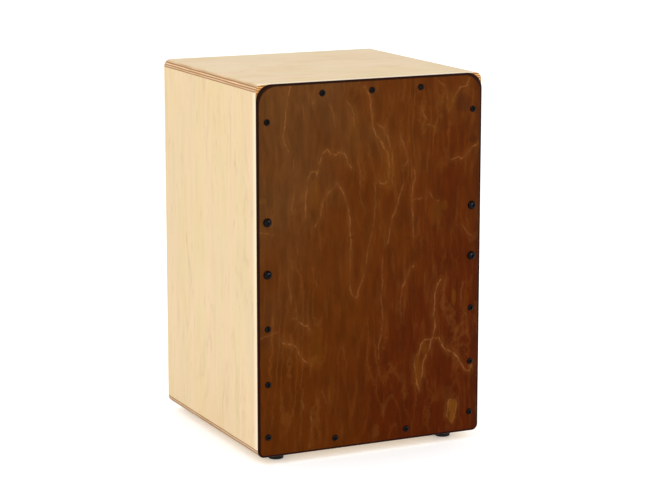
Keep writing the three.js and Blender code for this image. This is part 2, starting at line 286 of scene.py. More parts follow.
def birch_face(g, grain, seed):
    """Colour and bump height of sanded birch veneer: soft bands, growth lines, dashes and flecks."""
    place = g.vector("ADD", g.place, (seed * 913.0, seed * 377.0, seed * 591.0))
    bands = g.noise(place, axis_sizes(grain, 420, 34), 2)
    clouds = g.noise(place, axis_sizes(grain, 150, 55), 3)
    streaks = g.noise(place, axis_sizes(grain, 70, 6), 2, 0.5)
    fibres = g.noise(place, axis_sizes(grain, 15, 0.5), 3, 0.7)
    wander = g.noise(place, axis_sizes(grain, 30, 14), 3)
    rings = g.math("MULTIPLY_ADD", wander, 0.10, g.noise(place, axis_sizes(grain, 260, 52), 1))
    ring = g.math("PINGPONG", g.math("MULTIPLY", rings, 11), 0.5)
    shown = g.ramp(g.noise(place, axis_sizes(grain, 120, 36), 2), 0.44, 0.66)
    line = g.math("MULTIPLY", g.ramp(ring, 0.0, 0.11, 1.0, 0.0), shown)
    beside = g.math("MULTIPLY", g.ramp(ring, 0.0, 0.42, 1.0, 0.0), shown)
    dash = g.ramp(g.noise(place, axis_sizes(grain, 22, 6), 2, 0.4), 0.62, 0.78)
    fleck = g.ramp(g.noise(place, axis_sizes(grain, 9, 1.6), 1), 0.72, 0.84)

    colour = g.mix(g.ramp(bands, 0.35, 0.65), BIRCH_PINK, BIRCH_YELLOW)
    colour = g.mix(g.ramp(clouds, 0.40, 0.75, 0.0, 0.55), colour, BIRCH_GREY)
    colour = g.mix(g.ramp(streaks, 0.40, 0.75, 0.0, 0.22), colour, BIRCH_TAN)
    colour = g.mix(g.math("MULTIPLY", beside, 0.24), colour, BIRCH_TAN)
    colour = g.mix(g.math("MULTIPLY", line, 0.14), colour, BIRCH_BROWN)
    colour = g.mix(g.math("MULTIPLY", dash, 0.2), colour, BIRCH_BROWN)
    colour = g.mix(g.math("MULTIPLY", fleck, 0.2), colour, BIRCH_BROWN)
    colour = g.shade(colour, g.ramp(fibres, 0.2, 0.8, 0.975, 1.02))
    height = g.math("MULTIPLY_ADD", fibres, 0.7, g.math("MULTIPLY", streaks, 0.3))
    return colour, height


def birch_edge(g, thickness_axis, face_grain, start, thickness, plies, seed):
    """Colour and height of the cut edge of plywood: plies in turn show end grain and long grain."""
    coordinate = {"X": g.x, "Y": g.y, "Z": g.z}
    normal = dict(zip("XYZ", g.normal))
    cross_grain = next(a for a in "XYZ" if a not in (thickness_axis, face_grain))
    place = g.vector("ADD", g.place, (seed * 431.0, seed * 217.0, seed * 119.0))
    waver = g.math("MULTIPLY_ADD", g.noise(place, 38, 2), 0.30, -0.15)
    depth = g.math("SUBTRACT", coordinate[thickness_axis], start)
    layer = g.math("MULTIPLY_ADD", depth, plies / thickness, waver)
    ply = g.math("ADD", g.math("FLOOR", layer), 8.0)
    odd = g.math("MODULO", ply, 2.0)
    tone = g.noise(g.combine(g.math("MULTIPLY", ply, 7.3), seed * 3.1, 0.0), 1, 0)
    along_face_grain = g.math("GREATER_THAN", normal[face_grain], normal[cross_grain])
    # The outer plies run along the face grain, so an edge that cuts across it shows their end grain.
    end = g.math("ABSOLUTE", g.math("SUBTRACT", odd, along_face_grain))
    glue = g.ramp(g.math("PINGPONG", layer, 0.5), 0.03, 0.12, 1.0, 0.0)
    pores = g.noise(place, 0.42, 2, 0.7)
    fibres = g.noise(place, axis_sizes(cross_grain, 26, 0.5), 2)
    tint = g.noise(place, axis_sizes(thickness_axis, 1.5, 40), 2)
    end_colour = g.mix(g.ramp(tint, 0.3, 0.7), END_BROWN, END_RED)
    end_colour = g.shade(end_colour, g.ramp(pores, 0.3, 0.7, 0.82, 1.12))
    long_colour = g.mix(g.ramp(tint, 0.35, 0.65), LONG_TAN, LONG_PINK)
    long_colour = g.shade(long_colour, g.ramp(fibres, 0.25, 0.75, 0.9, 1.06))
    colour = g.mix(end, long_colour, end_colour)
    colour = g.shade(colour, g.ramp(tone, 0.25, 0.75, 0.72, 1.26))
    colour = g.mix(g.math("MULTIPLY", glue, 0.5), colour, GLUE_LINE)
    # Painted reflection and shade: edges facing the front are tinted warm, the brown plate's colour cast on
    # them.
    colour = g.mix(g.ramp(g.normal[1], 0.6, 0.8), colour, g.mix(1.0, colour, RIM_REFLECTED_TINT, "MULTIPLY"))
    relief = g.math("MULTIPLY", pores, g.math("MULTIPLY_ADD", end, 0.5, 0.2))
    return colour, g.math("MULTIPLY_ADD", glue, -0.6, relief)


def birch_ply(name, thickness_axis, face_grain, start, thickness, plies, seed, front=None):
    """Lacquered birch plywood, whose plies are stacked along one axis and show on every cut edge."""
    g = Graph(name)
    face, face_height = birch_face(g, face_grain, seed)
    edge, edge_height = birch_edge(g, thickness_axis, face_grain, start, thickness, plies, seed)
    coordinate = {"X": g.x, "Y": g.y, "Z": g.z}[thickness_axis]
    ply = thickness / plies
    from_middle = g.math("ABSOLUTE", g.math("SUBTRACT", coordinate, start + thickness / 2))
    depth = g.math("SUBTRACT", thickness / 2, from_middle)
    flat = dict(zip("XYZ", g.normal))[thickness_axis]
    veneer = g.math("MULTIPLY_ADD", g.noise(g.place, 42, 2), 0.5 * ply, 0.72 * ply)
    outer = g.ramp(g.math("SUBTRACT", depth, veneer), -0.07, 0.07, 1.0, 0.0)
    is_face = g.math("MULTIPLY", outer, g.ramp(flat, 0.45, 0.62))
    colour = g.mix(is_face, edge, face)
    if front is not None:
        # Painted sheen: the faces are painted paler towards the front rim.
        pale = g.math("MULTIPLY", g.ramp(g.y, front, front + SHEEN_WIDTH, 1.0, 0.0), is_face)
        colour = g.mix(g.math("MULTIPLY", pale, 0.8), colour, BIRCH_SHEEN)
    heights = {0: is_face, 2: edge_height, 3: face_height}
    height = g.add("ShaderNodeMix", heights, data_type="FLOAT").outputs[0]
    smudges = g.ramp(g.noise(g.place, 60, 3), 0.3, 0.7, 0.36, 0.48)
    return g.finish(
        Base_Color=colour,
        Roughness=g.math("ADD", smudges, g.math("MULTIPLY_ADD", is_face, -0.16, 0.16)),
        Specular_IOR_Level=0.3,
        Normal=g.bump(height, 0.05),
    )


def softwood(name, grain, seed, pale, dark, line_gap):
    """Planed timber with straight growth rings along its length."""
    g = Graph(name)
    place = g.vector("ADD", g.place, (seed * 71.0, seed * 37.0, seed * 53.0))
    bend = g.noise(place, axis_sizes(grain, 160, 25), 2)
    across = g.math("ADD", g.x if grain != "X" else g.z, g.math("MULTIPLY", g.y, 0.6))
    rings = g.math("MULTIPLY_ADD", bend, 3.0, g.math("DIVIDE", across, line_gap))
    ring = g.math("FRACT", rings)
    late = g.math("MULTIPLY", g.ramp(ring, 0.25, 0.92), g.ramp(ring, 0.93, 1.0, 1.0, 0.0))
    fibres = g.noise(place, axis_sizes(grain, 22, 0.5), 3, 0.65)
    colour = g.mix(late, pale, dark)
    colour = g.shade(colour, g.ramp(fibres, 0.2, 0.8, 0.9, 1.08))
    return g.finish(
        Base_Color=colour,
        Roughness=g.ramp(fibres, 0.3, 0.7, 0.6, 0.78),
        Specular_IOR_Level=0.35,
        Normal=g.bump(fibres, 0.08),
    )


def metal(name, dark, light, roughness):
    """Plated or blackened steel with a fine mottle and a finer grain."""
    g = Graph(name)
    mottle = g.noise(g.place, 1.6, 4, 0.65)
    fine = g.noise(g.place, 0.25, 2)
    colour = g.mix(g.ramp(mottle, 0.3, 0.75), dark, light)
    blotches = g.ramp(mottle, 0.25, 0.75, roughness - 0.07, roughness + 0.1)
    return g.finish(
        Base_Color=colour,
        Metallic=1.0,
        Roughness=g.math("MULTIPLY_ADD", fine, 0.06, blotches),
        Normal=g.bump(fine, 0.02),
    )


def rubber(name):
    """Moulded rubber: near black, with dust in its fine texture."""
    g = Graph(name)
    grain = g.noise(g.place, 0.35, 3, 0.7)
    dust = g.noise(g.place, 5.0, 4, 0.6)
    colour = g.mix(g.ramp(dust, 0.45, 0.8, 0.0, 0.5), rgb(10, 10, 10), rgb(30, 28, 27))
    return g.finish(
        Base_Color=colour,
        Roughness=g.ramp(grain, 0.3, 0.7, 0.5, 0.68),
        Specular_IOR_Level=0.2,
        Normal=g.bump(grain, 0.06),
    )


# The first three colours are the plate under a painted sheen: at the upper left, halfway, and low on the
# right.
STAIN_SHEENED, STAIN_HALF_SHEENED, STAIN_UNSHEENED = rgb(79, 45, 18), rgb(76, 32, 2), rgb(67, 18, 0)
STAIN_GOLD, STAIN_LINE, STAIN_PALE = rgb(110, 64, 24), rgb(132, 82, 44), rgb(112, 68, 12)
STAIN_DARK, STAIN_EDGE = rgb(44, 14, 6), rgb(18, 4, 8)
EDGE_STAIN_WIDTH = 2.3  # millimetres from the outline
# Painted shadow: the dark edge widens at the top corners, for the gap there between plate and shell.
CORNER_SHADE = 5.0  # millimetres added to the top corners' radius, where the dark edge is broader
# Growth lines of the plate's veneer, drawn one by one: each has its strength and its (x, z) points in
# millimetres, seen from the front. Lines that meet in a tip make the pointed figure of rotary-cut birch.
GROWTH_LINES = (
    (0.80, ((-107, 453), (-111, 430), (-115, 396), (-113, 386), (-108, 377))),
    (0.35, ((-103, 368), (-101, 328), (-105, 308))),
    (0.25, ((-95, 284), (-98, 262), (-94, 236))),
    (0.35, ((-80, 441), (-78, 432), (-73, 437))),
    (0.25, ((-90, 430), (-89, 414))),
    (0.30, ((-58, 438), (-55, 428), (-50, 418), (-49, 404))),
    (0.35, ((-34, 432), (-26, 424), (-23, 402))),
    (0.75, ((-87, 297), (-86, 322), (-84, 343), (-79, 351), (-74, 351), (-73, 345))),
    (0.75, ((-73, 345), (-68, 362), (-65, 372), (-60, 376), (-55, 371), (-48, 369), (-43, 372))),
    (0.75, ((-43, 372), (-37, 369), (-31, 358), (-26, 353))),
    (0.40, ((-19, 362), (-14, 338), (-15, 322), (-12, 306), (-8, 294))),
    (0.60, ((-74, 286), (-67, 298), (-65, 310), (-62, 319), (-56, 326), (-50, 331), (-46, 336))),
    (0.75, ((-46, 336), (-41, 330), (-36, 320), (-30, 303), (-28, 288), (-28, 266))),
    (0.55, ((-28, 266), (-29, 232), (-29, 205), (-24, 196), (-20, 194), (-16, 206), (-10, 222), (-5, 248))),
    (0.40, ((-5, 248), (0, 270), (4, 300), (5, 328), (8, 337))),
    (0.80, ((8, 337), (13, 331), (18, 329), (22, 336), (24, 352), (21, 365))),
    (0.85, ((21, 365), (18, 373), (12, 382), (5, 391), (1, 401), (0, 420), (-4, 436), (-10, 447))),
    (0.45, ((27, 326), (29, 350), (26, 368), (21, 386), (16, 396), (8, 402))),
    (0.50, ((37, 386), (42, 378), (45, 366), (48, 355), (43, 350))),
    (0.60, ((57, 344), (59, 334), (56, 326), (54, 312), (55, 290), (57, 262))),
    (0.40, ((56, 308), (67, 310))),
    (0.50, ((42, 326), (38, 315), (34, 300), (27, 287), (25, 270), (21, 257))),
    (0.70, ((57, 226), (52, 222), (47, 212), (43, 203))),
    (0.30, ((43, 203), (40, 188), (40, 158))),
    (0.45, ((10, 116), (10, 134), (14, 147), (16, 164), (14, 192), (16, 240))),
    (0.95, ((94, 206), (88, 197), (87, 180), (85, 160), (87, 147), (85, 137), (81, 132))),
    (0.90, ((81, 132), (79, 120), (72, 106), (70, 92), (67, 80), (66, 70))),
    (0.80, ((66, 70), (62, 84), (60, 100), (59, 113), (65, 117), (68, 128), (73, 133), (81, 132))),
    (0.90, ((86, 134), (94, 133), (97, 125), (102, 118), (114, 111), (121, 104), (126, 94), (131, 88))),
    (0.85, ((131, 88), (136, 87), (139, 96))),
    (0.35, ((126, 200), (123, 184), (124, 168), (131, 158))),
    (0.30, ((100, 204), (98, 184), (100, 164), (106, 150))),
    (0.70, ((144, 370), (136, 366), (128, 358), (120, 353), (116, 356), (107, 353))),
    (0.60, ((109, 424), (113, 434), (119, 441), (128, 443), (131, 452))),
    (0.40, ((104, 412), (101, 430), (98, 442), (89, 450))),
    (0.55, ((76, 397), (83, 395), (85, 390))),
    (0.35, ((67, 418), (70, 408), (75, 402))),
    (0.45, ((78, 316), (83, 308), (91, 304))),
    (0.40, ((124, 272), (129, 262), (138, 256))),
    (0.80, ((-121, 156), (-118, 149), (-112, 146), (-103, 145), (-98, 139), (-96, 132), (-86, 122))),
    (0.70, ((-104, 177), (-98, 178), (-94, 172), (-89, 166), (-84, 167), (-80, 158))),
    (0.35, ((-147, 156), (-138, 158), (-123, 163))),
    (0.50, ((-147, 283), (-138, 282), (-130, 279))),
    (0.30, ((-110, 236), (-108, 215), (-106, 195), (-103, 180))),
    (0.30, ((-78, 234), (-75, 222), (-71, 211))),
    (0.40, ((-80, 54), (-79, 42), (-81, 30), (-82, 16))),
    (0.30, ((-92, 76), (-89, 64))),
    (0.35, ((-66, 84), (-60, 70))),
    (0.60, ((108, 53), (117, 53), (118, 45), (116, 30), (113, 22), (104, 34), (105, 42), (108, 53))),
)
# Paler places, where the stain took less: middle (x, z), half width, half height and strength.
PALE_SPOTS = (
    ((112, 44), 7, 10, 1.0),
    ((113, 31), 5, 10, 1.0),
    ((64, 98), 5, 24, 0.55),
    ((72, 124), 5, 10, 0.5),
    ((113, 182), 3.5, 12, 0.65),
    ((130, 178), 4, 16, 0.3),
    ((98, 297), 6, 7, 0.35),
    ((86, 290), 12, 16, 0.3),
    ((-76, 325), 7, 24, 0.35),
    ((-142, 321), 6, 5, 0.4),
    ((-124, 352), 6, 6, 0.2),
    ((-72, 140), 9, 34, 0.28),
    ((-53, 84), 4, 26, 0.28),
    ((-22, 400), 6, 34, 0.25),
    ((22, 345), 9, 30, 0.28),
    ((104, 424), 7, 16, 0.3),
)
# Darker places, such as the hearts of small knots.
DARK_SPOTS = (
    ((123, 422), 11, 13, 0.75),
    ((80, 424), 6, 5, 0.4),
    ((108, 176), 3, 10, 0.4),
    ((103, 393), 4, 3, 0.4),
    ((-27, 268), 5, 2, 0.6),
    ((50, 261), 4, 2, 0.5),
    ((136, 376), 9, 4, 0.5),
    ((-76, 345), 4, 5, 0.4),
)


def line_distance(g, spot, points):
    """Distance in millimetres from spot to the line through points, in the plane of the plate."""
    nearest = None
    for (x0, z0), (x1, z1) in zip(points, points[1:]):
        span = (x1 - x0, 0.0, z1 - z0)
        offset = g.vector("SUBTRACT", spot, (x0, 0.0, z0))
        length_squared = span[0] ** 2 + span[2] ** 2
        share = g.clamp(g.math("DIVIDE", g.vector("DOT_PRODUCT", offset, span), length_squared))
        away = g.vector("DISTANCE", offset, g.vector("SCALE", span, scale=share))
        nearest = away if nearest is None else g.math("MINIMUM", nearest, away)
    return nearest


def spots(g, spot, places):
    """How strongly the soft oval spots in places show."""
    shown = 0.0
    for (x, z), width, height, strength in places:
        offset = g.vector("SUBTRACT", spot, (x, 0.0, z))
        away = g.vector("LENGTH", g.vector("MULTIPLY", offset, (1 / width, 0.0, 1 / height)))
        shown = g.math("MAXIMUM", shown, g.ramp(away, 0.55, 1.15, strength, 0.0))
    return shown


def distance_inside(g, low, high, top_radius, bottom_radius):
    """Distance in millimetres inwards from the outline of a plate with rounded corners."""
    half_width, half_height = (high[0] - low[0]) / 2 / MM, (high[2] - low[2]) / 2 / MM
    x = g.math("ABSOLUTE", g.math("SUBTRACT", g.x, (high[0] + low[0]) / 2 / MM))
    z = g.math("SUBTRACT", g.z, (high[2] + low[2]) / 2 / MM)
    upper = g.math("GREATER_THAN", z, 0.0)
    radius = g.math("MULTIPLY_ADD", upper, top_radius - bottom_radius, bottom_radius)
    across = g.math("ADD", g.math("SUBTRACT", x, half_width), radius)
    along = g.math("ADD", g.math("SUBTRACT", g.math("ABSOLUTE", z), half_height), radius)
    corner = g.combine(g.math("MAXIMUM", across, 0.0), g.math("MAXIMUM", along, 0.0))
    inner = g.math("MINIMUM", g.math("MAXIMUM", across, along), 0.0)
    return g.math("SUBTRACT", g.math("SUBTRACT", radius, inner), g.vector("LENGTH", corner))


def growth_figure(g, spot, wander):
    """How strongly the growth lines, the paler wood beside them and their echoes show."""
    core, halo, nearest = 0.0, 0.0, 100.0
    for strength, points in GROWTH_LINES:
        away = line_distance(g, spot, points)
        core = g.math("MAXIMUM", core, g.ramp(away, 0.2, 1.6, strength, 0.0))
        halo = g.math("MAXIMUM", halo, g.ramp(away, 0.5, 9.0, strength, 0.0))
        nearest = g.math("MINIMUM", nearest, g.math("ADD", away, 40 * (1 - strength)))
    broken = g.ramp(g.noise(g.place, (5, 20, 15), 3, 0.6), 0.36, 0.64, 0.1, 1.0)
    # Paler echoes of the strongest lines follow them on both sides.
    ripple = g.math("PINGPONG", g.math("MULTIPLY_ADD", wander, 3.0, nearest), 3.6)
    echo = g.math("MULTIPLY", g.ramp(ripple, 0.2, 1.9, 1.0, 0.0), g.ramp(nearest, 6.0, 28.0, 0.08, 0.0))
    shown = g.ramp(g.noise(g.place, (22, 20, 30), 2), 0.40, 0.62, 0.1, 1.0)
    return g.math("MULTIPLY", core, broken), halo, g.math("MULTIPLY", echo, shown)


def stain(g, low, high, clouds, patches):
    """Stain colour with a painted sheen: light upper left, darkest and reddest low on the right and by its
    edge.
    """
    # Painted sheen: the colour fades from light at the upper left to deep red at the lower right.
    across = g.ramp(g.x, low[0] / MM, high[0] / MM)
    down = g.ramp(g.z, high[2] / MM, low[2] / MM)
    deep = g.math("ADD", g.math("MULTIPLY", across, 0.66), g.math("MULTIPLY", down, 0.43))
    deep = g.clamp(g.math("ADD", deep, g.math("MULTIPLY_ADD", clouds, 0.5, -0.25)))
    colour = g.mix(g.ramp(deep, 0.0, 0.45), STAIN_SHEENED, STAIN_HALF_SHEENED)
    colour = g.mix(g.ramp(deep, 0.4, 1.0), colour, STAIN_UNSHEENED)
    margin = g.ramp(g.x, high[0] / MM - 15, high[0] / MM - 2, 0.0, 0.5)
    colour = g.mix(margin, colour, STAIN_DARK)
    return g.shade(colour, g.ramp(patches, 0.3, 0.72, 1.12, 0.80))


def stained_plate(name, low, high):
    """Brown stain under semi-gloss lacquer over rotary-cut birch, darker along the rounded edge."""
    g = Graph(name)
    wander = g.noise(g.place, (12, 40, 14), 4, 0.62)
    drift = g.noise(g.place, (70, 90, 80), 2)
    jitter = g.math("MULTIPLY_ADD", wander, 7.0, -3.5)
    lift = g.math("MULTIPLY_ADD", g.noise(g.place, (9, 40, 16), 3), 6.0, -3.0)
    spot = g.combine(g.math("ADD", g.x, jitter), 0.0, g.math("ADD", g.z, lift))
    core, halo, echo = growth_figure(g, spot, wander)
    pale = spots(g, spot, PALE_SPOTS)
    dark = spots(g, spot, DARK_SPOTS)

    # Fainter growth lines everywhere, long and nearly upright.
    rings = g.math("MULTIPLY_ADD", wander, 0.12, g.noise(g.place, (46, 50, 290), 1))
    ring = g.math("PINGPONG", g.math("MULTIPLY", rings, 10), 0.5)
    faint = g.math("MULTIPLY", g.ramp(ring, 0.0, 0.2, 1.0, 0.0), g.ramp(drift, 0.42, 0.66, 0.02, 0.26))
    clouds = g.noise(g.place, (50, 60, 75), 3, 0.55)
    patches = g.noise(g.place, (9, 30, 34), 3, 0.6)
    streaks = g.noise(g.place, (7, 20, 42), 3, 0.55)
    fibres = g.noise(g.place, (0.5, 20, 14), 3, 0.7)
    pores = g.ramp(g.noise(g.place, (0.9, 20, 7), 1), 0.70, 0.80)

    # The stain, under a painted sheen.
    colour = stain(g, low, high, clouds, patches)
    colour = g.mix(g.ramp(streaks, 0.50, 0.78, 0.0, 0.26), colour, STAIN_GOLD)
    colour = g.mix(g.math("MAXIMUM", faint, echo), colour, STAIN_GOLD)
    colour = g.mix(g.math("MULTIPLY", halo, 0.2), colour, STAIN_GOLD)
    colour = g.mix(g.math("MULTIPLY", pale, 0.45), colour, STAIN_PALE)
    colour = g.mix(g.math("MULTIPLY", core, 0.62), colour, STAIN_LINE)
    colour = g.mix(g.math("MULTIPLY", dark, 0.6), colour, STAIN_DARK)
    colour = g.mix(g.math("MULTIPLY", pores, 0.35), colour, STAIN_DARK)
    colour = g.shade(colour, g.ramp(fibres, 0.2, 0.8, 0.95, 1.05))
    # The top radius is widened for the painted shadow at the top corners.
    top_radius, bottom_radius = PLATE_TOP_RADIUS / MM + CORNER_SHADE, PLATE_BOTTOM_RADIUS / MM
    inside = distance_inside(g, low, high, top_radius, bottom_radius)
    inside = g.math("MULTIPLY_ADD", g.noise(g.place, 7, 3), 0.8, g.math("SUBTRACT", inside, 0.4))
    edge = g.ramp(inside, EDGE_STAIN_WIDTH, EDGE_STAIN_WIDTH + 1.1, 0.92, 0.0)
    colour = g.mix(edge, colour, STAIN_EDGE)
    # The back was never stained.
    back = g.ramp(g.y, high[1] / MM - 0.7, high[1] / MM - 0.3)
    raw = g.mix(g.ramp(streaks, 0.3, 0.7), BIRCH_GREY, BIRCH_TAN)
    colour = g.mix(back, colour, raw)
    height = g.math("MULTIPLY_ADD", fibres, 0.6, g.math("MULTIPLY", pores, -0.8))
    return g.finish(
        Base_Color=colour,
        Roughness=g.math("ADD", g.ramp(clouds, 0.3, 0.7, 0.32, 0.40), g.math("MULTIPLY", fibres, 0.08)),
        Specular_IOR_Level=0.07,
        Specular_Tint=(1.0, 0.5, 0.15, 1.0),
        Normal=g.bump(height, 0.045),
    )


# ---------------------------------------------------------------- the shell

low_seat, high_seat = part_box("seat_panel")
low_base, high_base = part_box("base_panel")
low_left, high_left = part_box("left_side_panel")
low_right, high_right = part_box("right_side_panel")
low_rear, high_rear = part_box("rear_panel")
low_plate, high_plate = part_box("front_plate")

EDGE_RADIUS = 8.5 * MM
EASE = 0.35 * MM
WALL = (high_seat[2] - low_seat[2]) / MM
PLIES = 7
REAR_PLIES = 3
HOLE_EASE = 0.8 * MM  # of the sound hole's rims
front_y = low_seat[1] / MM


def eased_depths(low, high):
    """The (y, inset) of the loops that ease a board's front and rear rims."""
    return ((low[1], EASE), (low[1] + EASE, 0), (high[1] - EASE, 0), (high[1], EASE))


def cap_board(low, high, upward):
    """A board whose outer long edges are rounded over, in a bmesh."""
    flat, turn = (low[2], 1) if upward else (high[2], -1)
    face = high[2] if upward else low[2]
    middle = (flat + face) / 2
    rim = face - turn * EDGE_RADIUS
    half = arc((high[0] - EDGE_RADIUS, 0), EDGE_RADIUS, 0, 90, 16)
    right = [(x, rim + turn * dz) for x, dz in half]
    outline = [(high[0], flat)] + right + [(-x, z) for x, z in reversed(right)] + [(-high[0], flat)]

    def loop(y, inset):
        points = []
        for x, z in outline:
            new_x = x - math.copysign(min(inset, abs(x)), x)
            new_z = z - math.copysign(inset, z - middle)
            points.append((new_x, y, new_z))
        return points

    bm = bmesh.new()
    rings = bridge(bm, [loop(y, inset) for y, inset in eased_depths(low, high)])
    for ring in (rings[0], rings[-1]):
        bm.faces.new(ring)
    return bm


def make_shell():
    boards = (
        ("seat_board", "seat_panel", low_seat, high_seat, True, 1),
        ("base_board", "base_panel", low_base, high_base, False, 2),
    )
    for name, node, low, high, upward, seed in boards:
        material = birch_ply(name + "_ply", "Z", "X", low[2] / MM, WALL, PLIES, seed, front_y)
        weight_normals(solid(name, cap_board(low, high, upward), material, "birch_ply", node))
    sides = (
        ("left_side_board", "left_side_panel", low_left, high_left, 3),
        ("right_side_board", "right_side_panel", low_right, high_right, 4),
    )
    for name, node, low, high, seed in sides:
        material = birch_ply(name + "_ply", "X", "Z", low[0] / MM, WALL, PLIES, seed, front_y)
        weight_normals(solid(name, eased_block(low, high, EASE / 2), material, "birch_ply", node))


def circle(centre, radius, y, segments=96):
    """A loop round centre, which is (x, z), in the plane at y."""
    angles = [2 * math.pi * i / segments for i in range(segments)]
    return [(centre[0] + radius * math.cos(a), y, centre[1] + radius * math.sin(a)) for a in angles]


def pierced_plate(outline, holes):
    """A plate with holes. The outline and each hole are lists of loops from one face to the other."""
    bm = bmesh.new()
    shells = [bridge(bm, loops) for loops in [outline, *holes]]
    bm.edges.ensure_lookup_table()
    for end in (0, -1):
        edges = []
        for rings in shells:
            ring = rings[end]
            for i in range(len(ring)):
                edges.append(bm.edges.get((ring[i], ring[(i + 1) % len(ring)])))
        bmesh.ops.triangle_fill(bm, use_beauty=True, use_dissolve=False, edges=edges)
    return bm


def hole_centre_and_radius(node):
    """The round hole's middle and radius, from the node's own vertices."""
    low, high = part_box(node)
    corners = [v.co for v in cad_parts[node].data.vertices]
    inner = [c for c in corners if low[0] + MM < c[0] < high[0] - MM]
    xs, zs = [c[0] for c in inner], [c[2] for c in inner]
    return ((min(xs) + max(xs)) / 2, (min(zs) + max(zs)) / 2), (max(xs) - min(xs)) / 2


def make_rear():
    """The rear panel and its sound hole, which has rounded rims."""
    low, high = low_rear, high_rear
    centre, radius = hole_centre_and_radius("rear_panel")

    def outline(y, inset):
        x0, x1, z0, z1 = low[0] + inset, high[0] - inset, low[2] + inset, high[2] - inset
        return [(x0, y, z0), (x1, y, z0), (x1, y, z1), (x0, y, z1)]

    outer = [outline(y, inset) for y, inset in eased_depths(low, high)]
    quarter = arc((0, 0), 1, 0, 90, 4)
    steps = [(radius + HOLE_EASE * (1 - s), HOLE_EASE * (1 - c)) for c, s in quarter]
    front_rim = [circle(centre, wide, low[1] + deep) for wide, deep in steps]
    rear_rim = [circle(centre, wide, high[1] - deep) for wide, deep in reversed(steps)]
    bm = pierced_plate(outer, [front_rim + rear_rim])
    thickness = (high[1] - low[1]) / MM
    material = birch_ply("rear_board_ply", "Y", "Z", low[1] / MM, thickness, REAR_PLIES, 5)
    weight_normals(solid("rear_board", bm, material, "birch_ply", "rear_panel"))


make_shell()
make_rear()


# ---------------------------------------------------------------- the front plate and its fasteners

PLATE_ROUND = 2.4 * MM  # of the front edge
PLATE_HOLE = 2.4 * MM  # radius


def make_plate():
    """The played plate, rounded over in front, with a hole for each fastener."""
    low, high = low_plate, high_plate
    ease = 0.15 * MM

    def loop(y, inset):
        points = rounded_outline(low, high, PLATE_TOP_RADIUS, PLATE_BOTTOM_RADIUS, inset)
        return [(x, y, z) for x, z in points]

    quarter = arc((0, 0), 1, 0, 90, 7)
    rounded = [loop(low[1] + PLATE_ROUND * 0.9 * (1 - s), PLATE_ROUND * (1 - c)) for c, s in quarter]
    outer = [loop(high[1], ease), loop(high[1] - ease, 0)] + rounded
    holes = []
    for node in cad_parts:
        if node.startswith(("plate_screw", "clamp_bolt")):
            centre = node_centre(node)[0], node_centre(node)[2]
            rims = [circle(centre, PLATE_HOLE, y, 24) for y in (high[1], low[1] + 0.2 * MM)]
            rims.append(circle(centre, PLATE_HOLE + 0.2 * MM, low[1], 24))
            holes.append(rims)
    bm = pierced_plate(outer, holes)
    material = stained_plate("stained_birch", low, high)
    weight_normals(solid("played_plate", bm, material, "stained_ply", "front_plate", 50))


# Radii and lengths in millimetres. The head's height and the length are measured from the seat.
Screw = namedtuple("Screw", "head height shank length pitch cone")
Bolt = namedtuple("Bolt", "head height shank length pitch socket")
PLATE_SCREW = Screw(head=3.9, height=2.2, shank=1.75, length=16, pitch=1.3, cone=4)
CLAMP_BOLT = Bolt(head=5.3, height=3.0, shank=2.0, length=45, pitch=0.7, socket=1.75)
# Profiles of the heads down to the seat, and of the socket, as shares of the radius and the height.
SCREW_CROWN = ((0, 1), (0.3, 0.985), (0.55, 0.9), (0.78, 0.68))
SCREW_RIM = ((0.93, 0.4), (0.995, 0.14), (1, 0.04), (0.985, 0))
BOLT_DOME = (0, 0.2, 0.36, 0.5, 0.62, 0.74)
BOLT_RIM = ((0.86, 0.68), (0.95, 0.42), (1, 0.1), (0.985, 0))
BOLT_SOCKET = ((0, 1.2), (1.12, 1.2), (1, 0.92), (1, 0.25), (0, 0))


def cross_cutter(span, width, depth):
    """Two crossed wedges that narrow downwards through z = 0."""
    corners = [(-span, -width), (span, -width), (span, width), (-span, width)]
    mouth = [(x * 1.25, y * 1.08, depth * 0.4) for x, y in corners]
    floor = [(x * 0.3, y * 0.8, -depth) for x, y in corners]
    cutters = []
    for turn in (0, 90):
        bm = bmesh.new()
        for ring in bridge(bm, [mouth, floor]):
            bm.faces.new(ring)
        bmesh.ops.rotate(bm, verts=bm.verts, matrix=Matrix.Rotation(math.radians(turn), 3, "Z"))
        cutters.append(bm)
    return cutters


def threaded(shank, start, end, pitch, depth):
    """Profile points of a threaded shank from height start down to end."""
    turns = int((start - end) / pitch)
    points = []
    for i in range(turns):
        top = start - i * pitch
        points += [(shank - depth, top), (shank - depth, top - pitch * 0.3), (shank, top - pitch * 0.65)]
    return points


def screw_mesh(name, size, material):
    """A cross-head screw standing on its head's seat at z = 0, with its head up."""
    head, height, shank, length, pitch, cone = (value * MM for value in size)
    tip = length - cone
    profile = [(head * across, height * up) for across, up in SCREW_CROWN + SCREW_RIM]
    profile.append((shank, 0))
    profile += threaded(shank, -shank, -tip, pitch, shank * 0.22)
    profile += [(shank * 0.7, -tip), (0, -length)]
    bm = turned(profile, 32)
    for cutter in cross_cutter(head * 0.5, head * 0.11, height * 0.75):
        bmesh.ops.translate(cutter, verts=cutter.verts, vec=(0, 0, height * 0.82))
        bm = carve(bm, cutter)
    return finished_mesh(name, bm, material)


